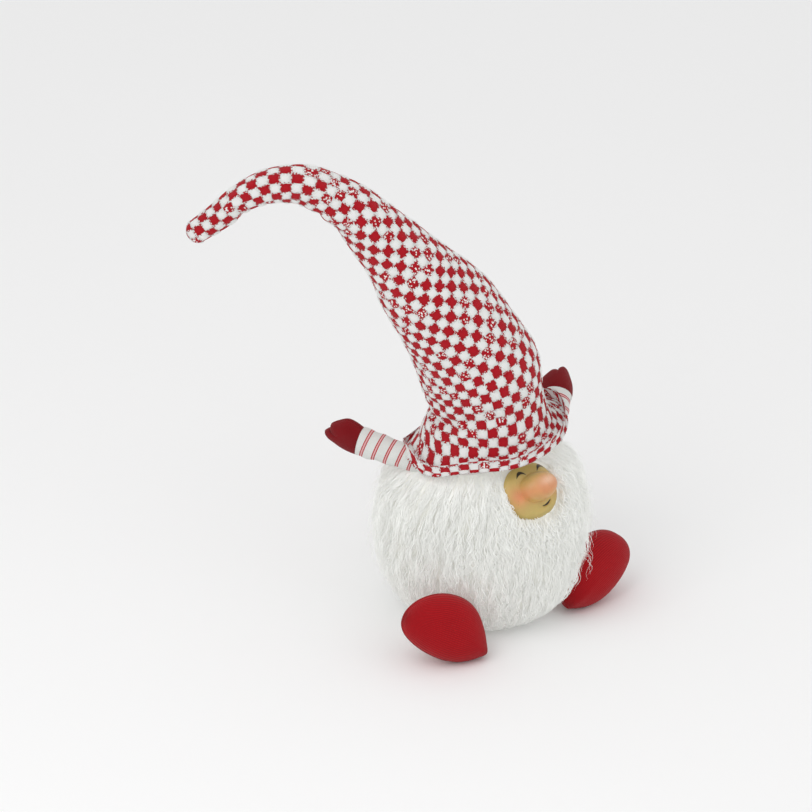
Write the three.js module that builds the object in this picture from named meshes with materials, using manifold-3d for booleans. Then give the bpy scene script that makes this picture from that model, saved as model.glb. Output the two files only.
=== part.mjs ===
// A sitting gnome doll: a shaggy round body on a flat weighted base, a tall wired knit hat that leans
// back over its right shoulder, a moulded face, two wired arms in mittens and two limp legs in boots.
// Millimetres, +Z up. The doll faces -Y, its right hand is at -X, and the origin is the middle of its base.

import * as THREE from "three";
import { mergeVertices } from "three/addons/utils/BufferGeometryUtils.js";
import Module from "manifold-3d";

const wasm = await Module();
wasm.setup();

// Fits and walls
const gap = 0.35; // between pieces that touch
const knitWall = 2.4; // a knit skin with its lining
const swingClearance = 2.5; // round the path of a moving limb
const bootClearance = 3.2; // round the path of a boot
const bendClearance = 3.4; // between two stretches of the hat at their furthest bend
const wireRadius = 1.5;
const wireSides = 8;

// Body: a squarish ball, cut flat where it sits
const bodyRadius = 94;
const bodyMiddle = 96; // height of its widest ring
const bodyWidth = bodyRadius / 94; // what meets the body keeps to its width: brim, face and limbs
const crownHeight = 196; // top of the ball, under the hat
const crownShare = (crownHeight - bodyMiddle) / 100; // and what sits on its slope keeps to its height
const slopeTop = 134; // height over the widest ring up to which that goes
const heightOver = (rise) => bodyMiddle + Math.min(rise, slopeTop) * crownShare + Math.max(rise - slopeTop, 0);
const baseRadius = 54; // of the flat that it sits on
const bodySquareness = 2.5; // exponent of its rounded profile
const coverWall = 10; // fur backing and packed pile
const neckRadius = 24; // opening in the crown for the hat's wire and filling
const baseSeam = 8; // width of the cover turned under at the base
const baseOpeningHeight = 9;
const baseFelt = 1.5;
const baseCard = 2;
const pouchRadius = 43;
const pouchHeight = 24;
const pouchWall = 1;
const pouchMouth = 5; // radius of the filling hole

// Hat: stations along its middle line as [distance out along the lean, height over the body's widest
// ring, radius]
const leanAzimuth = 138; // degrees round from +X
const brimStation = 1;
const waistStation = 3;
const bendStation = 7;
const curlStation = 11;
const hatStations = [
  [-9, 64, 88 * bodyWidth],
  [-7, 91, 82 * bodyWidth],
  [-6, 110, 69 * bodyWidth],
  [-5, 134, 58 * bodyWidth],
  [3, 175, 61],
  [15, 203, 58],
  [36, 240, 54],
  [66, 280, 45],
  [86, 308, 36],
  [110, 336, 30],
  [133, 361, 25.5],
  [156, 376, 23.5],
  [184, 390, 21.5],
  [218, 389, 19.5],
  [249, 374, 16],
  [269, 356, 15.5],
  [293, 337, 13.5],
].map(([out, height, radius]) => [out, heightOver(height), radius]);
const tipStation = hatStations.length - 1;
const brimTilt = 11; // degrees that the brim's plane drops towards the lean
const brimStuffingLift = 4; // the filling stops this far above the brim
const waistSwing = 12; // degrees each way, at each bend of the wired hat
const bendSwing = 20;
const curlSwing = 35;
const wireAnchorDepth = 62; // how far the hat's wire reaches down into the body

// Face: a thin moulded mask set into the front of the body
const faceWidth = 64;
const faceHeight = 58;
const faceCentre = new THREE.Vector3(-5, -80 * bodyWidth, heightOver(66));
const faceTilt = 33; // degrees that it looks up
const faceWall = 2.2;
const faceDome = 9; // height of the cheeks over the rim
const noseRadii = [22, 13, 20]; // across, up and out
const noseCentre = [2.6, 2, 13];
const feltPatch = 1.5;
const faceClearance = 1;

// Arms, each a striped sleeve and a mitten. A shoulder is a place on this width of body, and a height
// over its widest ring; the roll is the mitten's, in degrees
const arms = [
  { side: "right", mirror: 1, shoulder: [-64, 26, 80], direction: [-0.47, 0.86, 0.19], roll: 0 },
  { side: "left", mirror: -1, shoulder: [68, -28, 75], direction: [0.72, 0.6, 0.35], roll: 90 },
];
const sleeveLength = 66; // from the shoulder to the wrist
const sleeveRadius = 12; // at the shoulder
const wristRadius = 15;
const armSwing = 15; // degrees each way
const mittenThickness = 25;
const mittenWall = 1.8;
const mittenMiddle = [15, -2];
const mittenOutline = [
  [-10, -13],
  [0, -15.4],
  [9, -18.6],
  [18, -19.4],
  [27, -14.5],
  [33, -9],
  [33.6, -4.6],
  [32.6, -2.6],
  [36, -1.6],
  [38.5, 2.6],
  [35.4, 6.4],
  [28, 9.6],
  [17, 13.4],
  [8, 15],
  [0, 15.2],
  [-10, 13],
];

// Legs: a boot is placed by its heel corner, the way its toe points and the roll of its panels
const legs = [
  { side: "right", mirror: 1, hip: [-52, -42, 26], heel: [-79.4, -93.4], toe: [-0.8, 0.4, 0.45], roll: 20 },
  { side: "left", mirror: -1, hip: [52, -42, 26], heel: [44, -82], toe: [0.95, 0.12, 0.29], roll: 20 },
];
const legRadius = 12;
const legSwing = [-10, 30]; // degrees back and forward
const anklePlace = [42, 20]; // where the leg is aimed in the boot, along and up from the heel
const bootThickness = 46;
const bootWall = 2;
const bootMiddle = [52, 12];
const bootOutline = [
  [0, 0],
  [7, -6.6],
  [24, -16.2],
  [44, -20],
  [66, -18.2],
  [84, -13],
  [96, -6],
  [101.5, 3],
  [101, 15],
  [92, 30],
  [77, 41],
  [58, 46.5],
  [40, 45.5],
  [26, 39],
  [13, 25],
  [5, 12],
];

const up = new THREE.Vector3(0, 0, 1);
const lean = new THREE.Vector3(1, 0, 0).applyAxisAngle(up, THREE.MathUtils.degToRad(leanAzimuth));
const leanAxis = up.clone().cross(lean); // turning about it leans the hat further over
const far = 400; // longer than anything that it cuts

const doll = new THREE.Group();
doll.name = "gnome_doll";

const finishes = {
  felt: new THREE.MeshStandardMaterial({ color: 0xe6e4dc, roughness: 0.95, metalness: 0 }),
  card: new THREE.MeshStandardMaterial({ color: 0xb09a78, roughness: 0.9, metalness: 0 }),
  fur: new THREE.MeshStandardMaterial({ color: 0xeeefe8, roughness: 0.9, metalness: 0 }),
  filling: new THREE.MeshStandardMaterial({ color: 0xf4f4f0, roughness: 1, metalness: 0 }),
  pouch: new THREE.MeshStandardMaterial({ color: 0xc8bfae, roughness: 0.95, metalness: 0 }),
  ballast: new THREE.MeshStandardMaterial({ color: 0x9d9484, roughness: 0.9, metalness: 0 }),
  face: new THREE.MeshStandardMaterial({ color: 0xd0b070, roughness: 0.45, metalness: 0 }),
  hat: new THREE.MeshStandardMaterial({ color: 0xb8384a, roughness: 0.9, metalness: 0 }),
  sleeve: new THREE.MeshStandardMaterial({ color: 0xebe4dc, roughness: 0.9, metalness: 0 }),
  mitten: new THREE.MeshStandardMaterial({ color: 0x8e1420, roughness: 0.9, metalness: 0 }),
  boot: new THREE.MeshStandardMaterial({ color: 0xa61c22, roughness: 0.9, metalness: 0 }),
  wire: new THREE.MeshStandardMaterial({ color: 0x9a9c9e, roughness: 0.4, metalness: 1 }),
};

// A closed geometry as a solid that can be cut: its shared corners merged, its collapsed faces left out
function solid(geometry) {
  const bare = geometry.clone();
  for (const name of Object.keys(bare.attributes)) {
    if (name !== "position") bare.deleteAttribute(name);
  }
  const merged = mergeVertices(bare, 1e-4);
  const index = merged.index.array;
  const kept = [];
  for (let i = 0; i < index.length; i += 3) {
    const [a, b, c] = [index[i], index[i + 1], index[i + 2]];
    if (a !== b && b !== c && c !== a) kept.push(a, b, c);
  }
  const vertProperties = new Float32Array(merged.attributes.position.array);
  return new wasm.Manifold(new wasm.Mesh({ numProp: 3, vertProperties, triVerts: new Uint32Array(kept) }));
}

// A finished piece in its group, from a solid in that group's own frame
function addPiece(group, name, body, finish) {
  const mesh = body.getMesh();
  const geometry = new THREE.BufferGeometry();
  geometry.setAttribute("position", new THREE.BufferAttribute(new Float32Array(mesh.vertProperties), 3));
  geometry.setIndex(new THREE.BufferAttribute(new Uint32Array(mesh.triVerts), 1));
  geometry.computeVertexNormals();
  const piece = new THREE.Mesh(geometry, finish.clone());
  piece.name = name;
  group.add(piece);
}

// A closed skin through rings of points, with a fan to a point at each end; its faces point out
function skin(rings, startPoint, endPoint) {
  const sides = rings[0].length;
  const middle = (ring) => ring.reduce((sum, p) => sum.add(p), new THREE.Vector3()).divideScalar(sides);
  const points = [...rings.flat(), startPoint ?? middle(rings[0]), endPoint ?? middle(rings.at(-1))];
  const startIndex = rings.length * sides;
  const faces = [];
  for (let r = 0; r < rings.length - 1; r += 1) {
    for (let s = 0; s < sides; s += 1) {
      const a = r * sides + s;
      const b = r * sides + ((s + 1) % sides);
      faces.push(a, b, b + sides, a, b + sides, a + sides);
    }
  }
  const lastRing = (rings.length - 1) * sides;
  for (let s = 0; s < sides; s += 1) {
    const next = (s + 1) % sides;
    faces.push(startIndex, next, s, startIndex + 1, lastRing + s, lastRing + next);
  }
  let volume = 0;
  for (let f = 0; f < faces.length; f += 3) {
    const [a, b, c] = faces.slice(f, f + 3).map((i) => points[i]);
    volume += a.dot(b.clone().cross(c));
  }
  if (volume < 0) faces.reverse();
  const geometry = new THREE.BufferGeometry().setFromPoints(points);
  geometry.setIndex(faces);
  return geometry;
}

// A ring of points round a middle, in the plane of two unit axes
function ringAt(centre, radius, axisA, axisB, sides) {
  const ring = [];
  for (let s = 0; s < sides; s += 1) {
    const angle = (2 * Math.PI * s) / sides;
    const point = centre.clone();
    point.addScaledVector(axisA, radius * Math.cos(angle));
    point.addScaledVector(axisB, radius * Math.sin(angle));
    ring.push(point);
  }
  return ring;
}

// A profile of [radius, height] points turned about the vertical axis
function turned(profile, sides) {
  const points = profile.map(([radius, height]) => new THREE.Vector2(radius, height));
  return new THREE.LatheGeometry(points, sides).rotateX(Math.PI / 2);
}

function disc(radius, bottom, top, sides = 32) {
  return turned([[0, bottom], [radius, bottom], [radius, top], [0, top]], sides);
}

// A solid turned about a line through a point, by each of several angles, and joined to its copies
function swept(body, point, axis, fromDegrees, toDegrees, copies) {
  const shapes = [];
  for (let i = 0; i < copies; i += 1) {
    const degrees = fromDegrees + ((toDegrees - fromDegrees) * i) / (copies - 1);
    const turn = new THREE.Matrix4().makeRotationAxis(axis, THREE.MathUtils.degToRad(degrees));
    const away = new THREE.Matrix4().makeTranslation(point.clone().negate());
    const back = new THREE.Matrix4().makeTranslation(point);
    shapes.push(body.transform(back.multiply(turn).multiply(away).elements));
  }
  return shapes.reduce((sum, shape) => sum.add(shape));
}

// Everything on one side of a plane
function beyond(point, normal) {
  const box = new THREE.BoxGeometry(2 * far, 2 * far, 2 * far).translate(0, 0, far);
  box.applyQuaternion(new THREE.Quaternion().setFromUnitVectors(up, normal.clone().normalize()));
  return solid(box.translate(point.x, point.y, point.z));
}

// The ball of the body, smaller by an inset all round: a superellipse with its widest ring at the middle,
// as deep below it as brings the base flat out at its radius
function bodyBall(inset) {
  const depth = bodyMiddle / (1 - (baseRadius / bodyRadius) ** bodySquareness) ** (1 / bodySquareness);
  const rise = crownHeight - bodyMiddle;
  const profile = [];
  const steps = 14;
  for (let i = 0; i <= steps; i += 1) {
    const angle = Math.PI * (i / steps - 0.5);
    const half = angle < 0 ? depth : rise;
    const out = Math.abs(Math.cos(angle)) ** (2 / bodySquareness) * (bodyRadius - inset);
    const height = Math.sign(angle) * Math.abs(Math.sin(angle)) ** (2 / bodySquareness) * (half - inset);
    profile.push([i === 0 || i === steps ? 0 : out, bodyMiddle + height]);
  }
  return solid(turned(profile, 24)).subtract(beyond(new THREE.Vector3(), up.clone().negate()));
}

// The hat's middle line and radius at a station, which may fall between two
const hatCurve = new THREE.CatmullRomCurve3(hatStations.map((station) => new THREE.Vector3(...station)));

function hatPlace(station) {
  const place = (at) => hatCurve.getPoint(THREE.MathUtils.clamp(at / tipStation, 0, 1));
  const here = place(station);
  const step = place(station + 0.02).sub(place(station - 0.02));
  const along = lean.clone().multiplyScalar(step.x).addScaledVector(up, step.y).normalize();
  const centre = lean.clone().multiplyScalar(here.x).addScaledVector(up, here.y);
  return { centre, radius: here.z, along, across: leanAxis.clone().cross(along) };
}

// The station a distance along the hat from another one
function hatStationBeyond(station, distance) {
  let at = station;
  let left = Math.abs(distance);
  const step = 0.02 * Math.sign(distance);
  while (left > 0) {
    left -= hatPlace(at).centre.distanceTo(hatPlace(at + step).centre);
    at += step;
  }
  return at;
}

// A stretch of the hat, smaller by an inset; an overrun carries its open ends past the stretch, and a
// rounded end closes it as a dome
function hatTube(from, to, inset, { overrun = 0, rounded = false, sides = 18, radius = null } = {}) {
  const stretch = to - from;
  const steps = Math.max(2, Math.ceil(stretch * 1.2));
  const rings = [];
  for (let i = 0; i <= steps; i += 1) {
    const place = hatPlace(from + (stretch * i) / steps);
    const size = radius ?? place.radius - inset;
    if (i === 0 && overrun) {
      const before = place.centre.clone().addScaledVector(place.along, -overrun);
      rings.push(ringAt(before, size, place.across, leanAxis, sides));
    }
    rings.push(ringAt(place.centre, size, place.across, leanAxis, sides));
    if (i === steps && overrun && !rounded) {
      const after = place.centre.clone().addScaledVector(place.along, overrun);
      rings.push(ringAt(after, size, place.across, leanAxis, sides));
    }
  }
  const end = hatPlace(to);
  const endRadius = radius ?? end.radius - inset;
  if (!rounded) return solid(skin(rings));
  for (const degrees of [25, 50, 72]) {
    const angle = THREE.MathUtils.degToRad(degrees);
    const centre = end.centre.clone().addScaledVector(end.along, endRadius * Math.sin(angle));
    rings.push(ringAt(centre, endRadius * Math.cos(angle), end.across, leanAxis, sides));
  }
  return solid(skin(rings, undefined, end.centre.clone().addScaledVector(end.along, endRadius)));
}

// A round wire along a curve through points
function wireThrough(points, radius) {
  const path = new THREE.CatmullRomCurve3(points);
  const section = new THREE.Shape().absarc(0, 0, radius, 0, 2 * Math.PI);
  const steps = Math.max(3, Math.round(path.getLength() / 20));
  const options = { steps, bevelEnabled: false, curveSegments: 4, extrudePath: path };
  return solid(new THREE.ExtrudeGeometry(section, options));
}

// A limb along +X from a ball at its root, through [distance, radius] places
function limbTube(places, sides = 14) {
  const across = new THREE.Vector3(0, 1, 0);
  const rings = [];
  const root = places[0][1];
  for (const degrees of [60, 30]) {
    const angle = THREE.MathUtils.degToRad(degrees);
    const centre = new THREE.Vector3(places[0][0] - root * Math.sin(angle), 0, 0);
    rings.push(ringAt(centre, root * Math.cos(angle), across, up, sides));
  }
  for (const [distance, radius] of places) {
    rings.push(ringAt(new THREE.Vector3(distance, 0, 0), radius, across, up, sides));
  }
  return solid(skin(rings, new THREE.Vector3(places[0][0] - root, 0, 0)));
}

// A puffed shape sewn from two panels: its outline in the XY plane, shrunk round its middle as its
// height rises to half the thickness, and smaller by an inset all round
function pillow(outline, middle, thickness, inset, samples = 22, tiers = 5) {
  const closed = new THREE.CatmullRomCurve3(outline.map(([x, y]) => new THREE.Vector3(x, y, 0)), true);
  const centre = new THREE.Vector3(...middle, 0);
  const edge = closed.getPoints(samples).slice(0, samples).map((point) => point.sub(centre));
  const rings = [];
  for (let tier = 1; tier <= tiers; tier += 1) {
    const angle = (Math.PI * tier) / (tiers + 1);
    const spread = Math.sin(angle) ** 0.8;
    const height = (thickness / 2 - inset) * Math.cos(angle);
    const ring = edge.map((point) => {
      const reach = Math.max(point.length() - inset, 0) * spread;
      const at = point.clone().setLength(reach).add(centre);
      return at.setZ(height);
    });
    rings.push(ring);
  }
  return solid(skin(rings));
}

// A frame whose X is a direction, whose Z is as near upright as it can be, rolled about X
function aimed(direction, rollDegrees = 0) {
  const x = new THREE.Vector3(...direction).normalize();
  const y = up.clone().cross(x).normalize();
  const z = x.clone().cross(y);
  const basis = new THREE.Matrix4().makeBasis(x, y, z);
  return basis.multiply(new THREE.Matrix4().makeRotationX(THREE.MathUtils.degToRad(rollDegrees)));
}

function placed(position, basis) {
  const group = new THREE.Group();
  group.position.copy(position);
  group.quaternion.setFromRotationMatrix(basis);
  group.updateMatrix();
  doll.add(group);
  return group;
}

// What the moving limbs need kept clear, in the doll's frame
const cutters = [];

function buildArm({ side, mirror, shoulder, direction, roll }) {
  const [across, forward, rise] = shoulder;
  const root = new THREE.Vector3(across * bodyWidth, forward * bodyWidth, heightOver(rise));
  const group = placed(root, aimed(direction));
  const growth = (distance) => sleeveRadius + ((wristRadius - sleeveRadius) * distance) / sleeveLength;
  const places = (inset, end) => [0, 0.3, 0.65, 1].map((share) => [share * end, growth(share * end) - inset]);
  const outer = limbTube(places(0, sleeveLength));
  const openEnd = sleeveLength + far;
  const inner = limbTube([...places(knitWall, sleeveLength), [openEnd, wristRadius - knitWall]]);
  addPiece(group, `arm_sleeve_${side}`, outer.subtract(inner), finishes.sleeve);

  // the wire runs from near the shoulder to the middle of the mitten
  const wireEnd = sleeveLength + mittenMiddle[0];
  const wireAlong = (from, to, radius) => {
    const rod = new THREE.CylinderGeometry(radius, radius, to - from, 8).rotateZ(Math.PI / 2);
    return solid(rod.translate((from + to) / 2, 0, 0));
  };
  addPiece(group, `arm_wire_${side}`, wireAlong(0, wireEnd, wireRadius), finishes.wire);
  const wireHole = wireAlong(-gap, wireEnd + gap, wireRadius + gap);
  const filling = limbTube(places(knitWall + gap, sleeveLength - gap)).subtract(wireHole);
  addPiece(group, `arm_stuffing_${side}`, filling, finishes.filling);

  // the mitten lies in the XZ plane of the arm before its roll, thumb down
  const turn = new THREE.Matrix4().makeTranslation(sleeveLength + gap, 0, 0);
  turn.multiply(new THREE.Matrix4().makeRotationX(THREE.MathUtils.degToRad(-90 + mirror * roll)));
  const pastWrist = beyond(new THREE.Vector3(sleeveLength + gap, 0, 0), new THREE.Vector3(1, 0, 0));
  const shape = (inset) => {
    const whole = pillow(mittenOutline, mittenMiddle, mittenThickness, inset, 20, 3);
    return whole.transform(turn.elements).intersect(pastWrist);
  };
  const mitten = shape(0).subtract(shape(mittenWall));
  addPiece(group, `mitten_${side}`, mitten, finishes.mitten);
  addPiece(group, `mitten_stuffing_${side}`, shape(mittenWall + gap).subtract(wireHole), finishes.filling);

  // the room that the arm swings in
  const wide = limbTube([[0, sleeveRadius + swingClearance], [2 * sleeveLength, wristRadius + swingClearance]], 8);
  const axis = up.clone().cross(new THREE.Vector3(...direction)).normalize();
  cutters.push(swept(wide.transform(group.matrix.elements), root, axis, -armSwing, armSwing, 3));
}

function buildLeg({ side, mirror, hip, heel, toe, roll }) {
  // the boot's own frame has X from heel to toe, Y up its height and Z out of its outer panel
  const basis = aimed(toe, mirror * roll).multiply(new THREE.Matrix4().makeRotationX(Math.PI / 2));
  const shape = (inset) => pillow(bootOutline, bootMiddle, bootThickness, inset);
  const laid = new THREE.Group();
  laid.quaternion.setFromRotationMatrix(basis);
  laid.updateMatrix();
  const low = shape(0).transform(laid.matrix.elements).boundingBox().min[2];
  const group = placed(new THREE.Vector3(heel[0] * bodyWidth, heel[1] * bodyWidth, -low), basis);

  const root = new THREE.Vector3(hip[0] * bodyWidth, hip[1] * bodyWidth, hip[2]);
  const ankle = new THREE.Vector3(...anklePlace, 0).applyMatrix4(group.matrix);
  const reach = ankle.clone().sub(root);
  const legGroup = placed(root, aimed(reach.toArray()));
  const bootInLeg = legGroup.matrix.clone().invert().multiply(group.matrix).elements;
  const boot = shape(-gap).transform(bootInLeg);
  const tube = (inset, end) => limbTube([[0, legRadius - inset], [end, legRadius - inset]]);
  const length = reach.length();
  const sleeve = tube(0, length).subtract(tube(knitWall, length + far)).subtract(boot);
  addPiece(legGroup, `leg_sleeve_${side}`, sleeve, finishes.sleeve);
  addPiece(legGroup, `leg_stuffing_${side}`, tube(knitWall + gap, length).subtract(boot), finishes.filling);

  const shell = shape(0).subtract(shape(bootWall));
  const seam = new THREE.Vector3(0, 0, gap / 2);
  const outerPanel = -mirror; // the outer panel faces away from the body
  const half = (sign) => shell.intersect(beyond(seam.clone().multiplyScalar(sign), up.clone().multiplyScalar(sign)));
  addPiece(group, `boot_outer_panel_${side}`, half(outerPanel), finishes.boot);
  addPiece(group, `boot_inner_panel_${side}`, half(-outerPanel), finishes.boot);
  addPiece(group, `boot_stuffing_${side}`, shape(bootWall + gap), finishes.filling);

  // the room that the leg and its boot swing in
  const wide = limbTube([[0, legRadius + swingClearance], [length, legRadius + swingClearance]], 8);
  const wideBoot = pillow(bootOutline, bootMiddle, bootThickness, -bootClearance, 14, 4);
  const limb = wide.transform(legGroup.matrix.elements).add(wideBoot.transform(group.matrix.elements));
  const [back, forward] = legSwing.map((degrees) => mirror * degrees);
  cutters.push(swept(limb, root, up, back, forward, 3));
}

// The face's frame has X to the doll's left, Y up the face and Z straight out of it
function faceShapes() {
  const basis = new THREE.Matrix4().makeRotationX(THREE.MathUtils.degToRad(90 - faceTilt));
  const group = placed(faceCentre, basis);
  const sides = 24;
  const outlineAt = (share, inset, height) => {
    const ring = [];
    for (let s = 0; s < sides; s += 1) {
      const angle = (2 * Math.PI * s) / sides;
      const [c, n] = [Math.cos(angle), Math.sin(angle)];
      const x = share * (faceWidth / 2 - inset) * Math.sign(c) * Math.abs(c) ** 0.85;
      const y = share * (faceHeight / 2 - inset) * Math.sign(n) * Math.abs(n) ** 0.85;
      ring.push(new THREE.Vector3(x, y, height));
    }
    return ring;
  };
  // cheeks rise as a shallow dome from the rim, and the nose is half an egg set in their middle
  const relief = (inset, base) => {
    const rings = [outlineAt(1, inset, base)];
    for (const share of [0.97, 0.88, 0.72, 0.4]) {
      rings.push(outlineAt(share, inset, (faceDome - inset) * (1 - share ** 2) ** 0.6));
    }
    const dome = solid(skin(rings, undefined, new THREE.Vector3(0, 0, faceDome - inset)));
    const nose = new THREE.SphereGeometry(1, 14, 8);
    nose.scale(...noseRadii.map((radius) => radius - inset)).translate(...noseCentre);
    const above = beyond(new THREE.Vector3(0, 0, base), up);
    return dome.add(solid(nose).intersect(above));
  };
  const mask = relief(0, 0).subtract(relief(faceWall, -faceWall));
  addPiece(group, "face_mask", mask, finishes.face);
  const plate = (from, to, grow) => solid(skin([outlineAt(1, -grow, from), outlineAt(1, -grow, to)]));
  addPiece(group, "face_backing_felt", plate(-gap - feltPatch, -gap, 0), finishes.felt);
  const opening = plate(-2 * gap - feltPatch, far, faceClearance);
  return opening.transform(group.matrix.elements);
}

function buildHat() {
  const pieces = [
    { name: "lower", from: waistStation, to: bendStation, fromSwing: waistSwing, toSwing: bendSwing },
    { name: "mid", from: bendStation, to: curlStation, fromSwing: bendSwing, toSwing: curlSwing },
    { name: "tip", from: curlStation, to: tipStation, fromSwing: curlSwing, toSwing: null },
  ];
  for (const { name, from, to, fromSwing, toSwing } of pieces) {
    const start = hatStationBeyond(from, swingGap(from, fromSwing));
    const end = toSwing === null ? to : hatStationBeyond(to, -swingGap(to, toSwing));
    const rounded = toSwing === null;
    const cover = hatTube(start, end, 0, { rounded });
    const hollow = hatTube(start, end, knitWall, { rounded, overrun: knitWall });
    addPiece(doll, `hat_cover_${name}`, cover.subtract(hollow), finishes.hat);
    const wire = hatTube(start, end, 0, { radius: wireRadius, sides: wireSides });
    addPiece(doll, `hat_wire_${name}`, wire, finishes.wire);
    const room = { overrun: knitWall, radius: wireRadius + 2 * gap, sides: wireSides };
    const channel = hatTube(start, end, 0, room);
    const filling = hatTube(start, end, knitWall + gap, { rounded }).subtract(channel);
    addPiece(doll, `hat_stuffing_${name}`, filling, finishes.filling);
  }
}

// Half the opening that two stretches of the hat need between them to bend by an angle each way
function swingGap(station, degrees) {
  const radius = hatPlace(station).radius;
  return radius * Math.tan(THREE.MathUtils.degToRad(degrees / 2)) + bendClearance;
}

function buildBody(faceOpening) {
  const outer = bodyBall(0);
  const within = bodyBall(coverWall);
  const baseHole = solid(disc(baseRadius - baseSeam, -far, baseOpeningHeight));
  const neckHole = solid(disc(neckRadius, bodyMiddle, far));
  const limbRoom = cutters.reduce((sum, cutter) => sum.add(cutter));
  const cover = outer.subtract(within).subtract(baseHole).subtract(neckHole);
  addPiece(doll, "fur_cover", cover.subtract(faceOpening).subtract(limbRoom), finishes.fur);

  const plateRadius = baseRadius - baseSeam - gap;
  addPiece(doll, "base_felt_panel", solid(disc(plateRadius, 0, baseFelt)), finishes.felt);
  const cardBottom = baseFelt + gap;
  addPiece(doll, "base_card_disc", solid(disc(plateRadius, cardBottom, cardBottom + baseCard)), finishes.card);

  // the ballast pouch is a low cushion on the card, with a filling hole on top
  const pouchBottom = cardBottom + baseCard + gap;
  const cushion = (inset, grow = 0) => {
    const radius = pouchRadius - inset + grow;
    const low = pouchBottom + inset - grow;
    const high = pouchBottom + pouchHeight - inset + grow;
    const corner = (high - low) / 2;
    const profile = [[0, low]];
    for (let i = 0; i <= 6; i += 1) {
      const angle = Math.PI * (i / 6 - 0.5);
      profile.push([radius - corner + corner * Math.cos(angle), (low + high) / 2 + corner * Math.sin(angle)]);
    }
    return solid(turned([...profile, [0, high]], 20));
  };
  const mouth = solid(disc(pouchMouth, pouchBottom + pouchHeight / 2, far, 12));
  addPiece(doll, "ballast_pouch", cushion(0).subtract(cushion(pouchWall)).subtract(mouth), finishes.pouch);
  addPiece(doll, "ballast_fill", cushion(pouchWall + gap), finishes.ballast);

  // the hat's wire starts inside the body and ends at the hat's waist
  const waistEnd = hatStationBeyond(waistStation, -swingGap(waistStation, waistSwing));
  const brim = hatPlace(brimStation).centre;
  const anchorFoot = new THREE.Vector3(brim.x, brim.y, brim.z - wireAnchorDepth);
  const anchorTop = hatPlace(waistEnd).centre;
  const route = (foot, top) => [foot, brim, hatPlace((brimStation + waistEnd) / 2).centre, top];
  addPiece(doll, "hat_wire_anchor", wireThrough(route(anchorFoot, anchorTop), wireRadius), finishes.wire);
  const deeper = anchorFoot.clone().addScaledVector(up, -gap);
  const higher = anchorTop.clone().addScaledVector(up, knitWall);
  const wireRoom = wireThrough(route(deeper, higher), wireRadius + 2 * gap);

  const filling = bodyBall(coverWall + gap).intersect(beyond(new THREE.Vector3(0, 0, pouchBottom), up));
  const room = filling.subtract(cushion(0, gap)).subtract(baseHoleBelow(pouchBottom)).subtract(wireRoom);
  addPiece(doll, "body_stuffing", room.subtract(faceOpening).subtract(limbRoom), finishes.filling);

  // the skirt of the hat, from its tilted brim to its waist
  const drop = THREE.MathUtils.degToRad(brimTilt);
  const brimUp = up.clone().multiplyScalar(Math.cos(drop)).addScaledVector(lean, Math.sin(drop));
  const aboveBrim = beyond(brim, brimUp);
  const inside = hatTube(0, waistEnd, knitWall, { overrun: knitWall }).add(bodyBall(-gap));
  const skirt = hatTube(0, waistEnd, 0).subtract(inside);
  addPiece(doll, "hat_skirt", skirt.intersect(aboveBrim).subtract(limbRoom), finishes.hat);
  const aboveStuffing = beyond(brim.clone().addScaledVector(up, brimStuffingLift), brimUp);
  const pad = hatTube(0, waistEnd, knitWall + gap).intersect(aboveStuffing).subtract(bodyBall(-gap));
  const padRoom = pad.subtract(wireRoom).subtract(faceOpening).subtract(limbRoom);
  addPiece(doll, "hat_stuffing_base", padRoom, finishes.filling);
}

// Round the ballast pouch the filling stops at the base opening
function baseHoleBelow(bottom) {
  return solid(disc(baseRadius - baseSeam, -far, bottom + gap));
}

arms.forEach(buildArm);
legs.forEach(buildLeg);
buildHat();
buildBody(faceShapes());

export default doll;
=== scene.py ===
import math

import bpy
import numpy as np
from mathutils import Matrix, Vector


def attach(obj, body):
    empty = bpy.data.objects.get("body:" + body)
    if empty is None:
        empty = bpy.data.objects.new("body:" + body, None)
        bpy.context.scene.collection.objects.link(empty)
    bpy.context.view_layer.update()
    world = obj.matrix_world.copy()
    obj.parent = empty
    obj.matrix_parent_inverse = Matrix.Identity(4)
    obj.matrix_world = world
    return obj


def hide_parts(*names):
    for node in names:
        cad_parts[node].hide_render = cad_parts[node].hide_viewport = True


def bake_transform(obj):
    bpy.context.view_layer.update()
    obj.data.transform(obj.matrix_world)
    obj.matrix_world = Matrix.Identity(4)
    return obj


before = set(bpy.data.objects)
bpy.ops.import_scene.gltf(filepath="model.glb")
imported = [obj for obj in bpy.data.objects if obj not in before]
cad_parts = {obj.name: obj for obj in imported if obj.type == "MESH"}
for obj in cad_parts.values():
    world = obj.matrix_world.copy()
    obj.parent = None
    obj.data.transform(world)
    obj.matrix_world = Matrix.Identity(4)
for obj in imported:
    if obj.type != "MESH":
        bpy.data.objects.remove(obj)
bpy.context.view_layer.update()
print("frame loaded")

millimetre = 0.001
up = np.array([0.0, 0.0, 1.0])


def tone(red, green, blue):  # a screen colour of 0 to 255 as linear light
    screen = np.array([red, green, blue]) / 255
    linear = np.where(screen > 0.04045, ((screen + 0.055) / 1.055) ** 2.4, screen / 12.92)
    return (*linear.tolist(), 1.0)


def smoothstep(low, high, value):
    share = np.clip((value - low) / (high - low), 0, 1)
    return share * share * (3 - 2 * share)


def unit(vectors):
    return vectors / np.linalg.norm(vectors, axis=-1, keepdims=True)


def swayed(value, seed, size):  # smooth noise of about -1 to 1: three sines whose lengths don't divide
    return (
        np.sin(value / size + seed)
        + np.sin(value / size * 1.73 + seed * 2.3)
        + np.sin(value / size * 2.91 + seed * 4.1)
    ) / 2.2


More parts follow.
